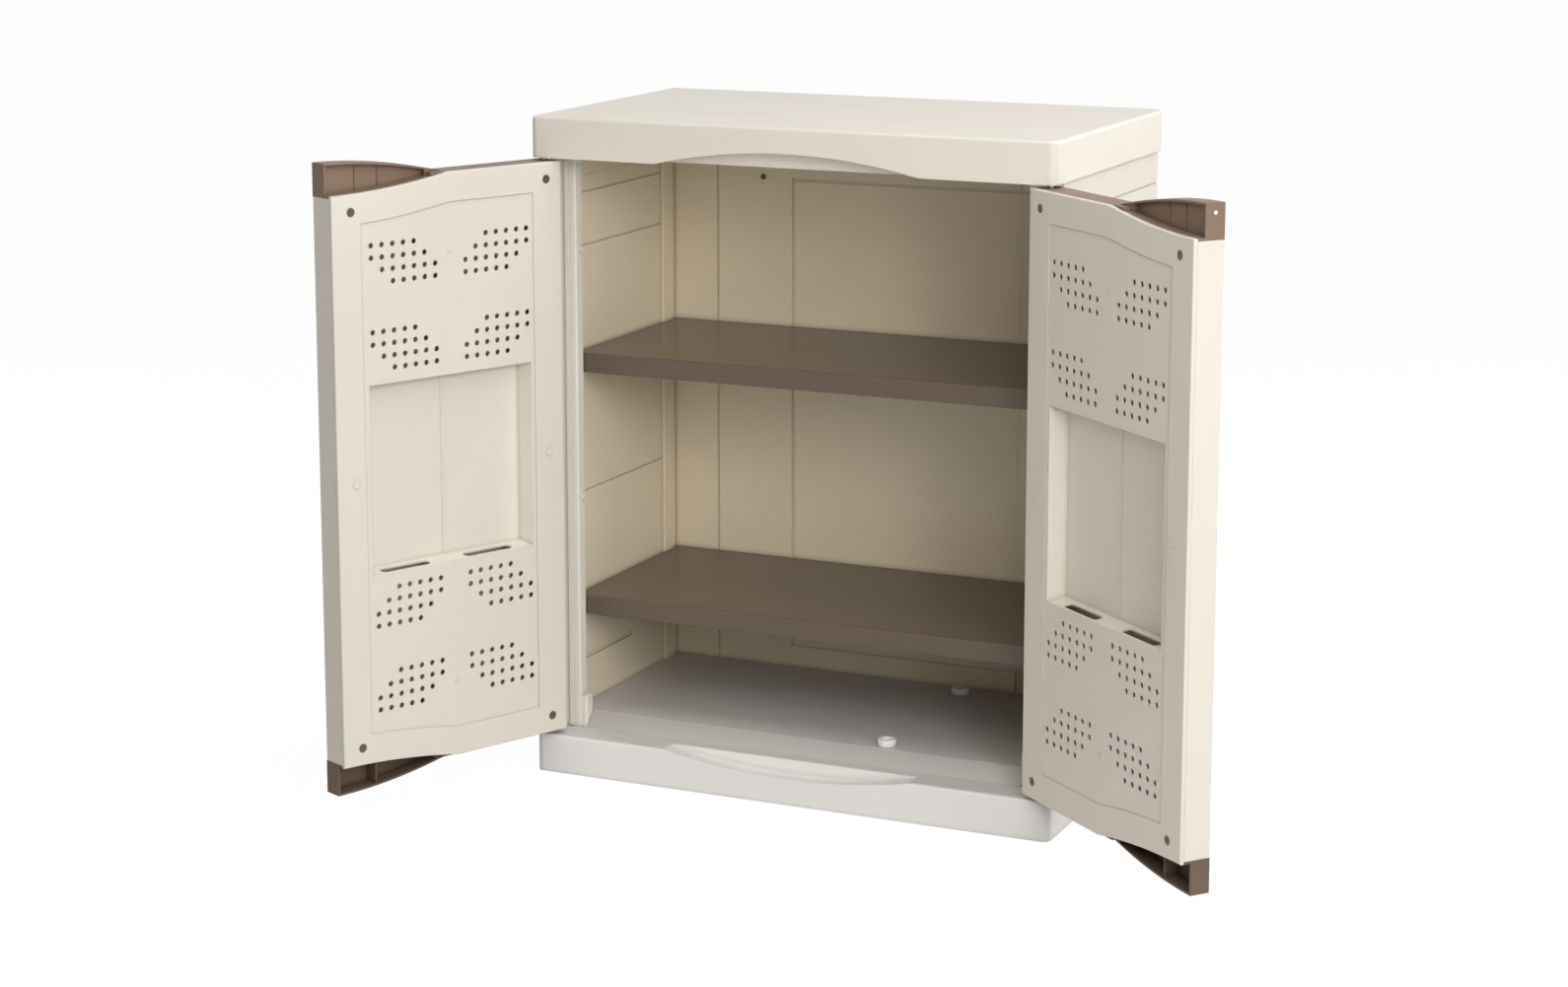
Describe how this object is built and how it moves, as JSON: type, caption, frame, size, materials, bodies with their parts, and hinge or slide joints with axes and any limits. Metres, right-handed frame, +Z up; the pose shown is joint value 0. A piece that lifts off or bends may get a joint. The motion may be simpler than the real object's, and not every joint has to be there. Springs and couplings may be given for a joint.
{
  "type": "garden storage cabinet",
  "caption": "Low resin garden storage cabinet with two hinged doors, eye-shaped taupe door ends, shelves inside and storage bays in the doors.",
  "frame": {"origin": "Middle of the base's underside footprint, at floor level.", "axes": "+Z up, +X to the right seen from the front, the doors face -Y."},
  "size_m": [1.0665, 0.6895, 0.829],
  "materials": {
    "cream_resin": "moulded, fine satin grain",
    "taupe_resin": "moulded, satin",
    "white_plastic": "smooth",
    "dark_steel": "dark coated screw",
    "pin_steel": "plain drawn rod"
  },
  "bodies": {
    "cabinet": {"base": "cream_resin", "roof": "cream_resin", "left_side_wall": "cream_resin", "right_side_wall": "cream_resin", "back_panel": "cream_resin", "back_panel_screws": "dark_steel", "upper_shelf": "taupe_resin", "lower_shelf": "taupe_resin", "upper_shelf_pegs": "cream_resin", "lower_shelf_pegs": "cream_resin", "floor_studs": "white_plastic"},
    "left_door": {"left_door_outer_shell": "cream_resin", "left_door_inner_panel": "cream_resin", "left_door_top_cap": "taupe_resin", "left_door_bottom_cap": "taupe_resin", "left_door_upper_hinge_pin": "pin_steel", "left_door_lower_hinge_pin": "pin_steel", "left_door_screws": "dark_steel"},
    "right_door": {"right_door_outer_shell": "cream_resin", "right_door_inner_panel": "cream_resin", "right_door_top_cap": "taupe_resin", "right_door_bottom_cap": "taupe_resin", "right_door_upper_hinge_pin": "pin_steel", "right_door_lower_hinge_pin": "pin_steel", "right_door_screws": "dark_steel", "right_door_bumper": "white_plastic"}
  },
  "joints": [
    {"name": "left_door_hinge", "type": "hinge", "parent": "cabinet", "child": "left_door", "pos_m": [-0.3285, -0.1835, 0.0498], "axis": [0, 0, -1], "range_deg": [-114, 60]},
    {"name": "right_door_hinge", "type": "hinge", "parent": "cabinet", "child": "right_door", "pos_m": [0.3285, -0.1835, 0.0498], "axis": [0, 0, 1], "range_deg": [-141, 34]}
  ]
}
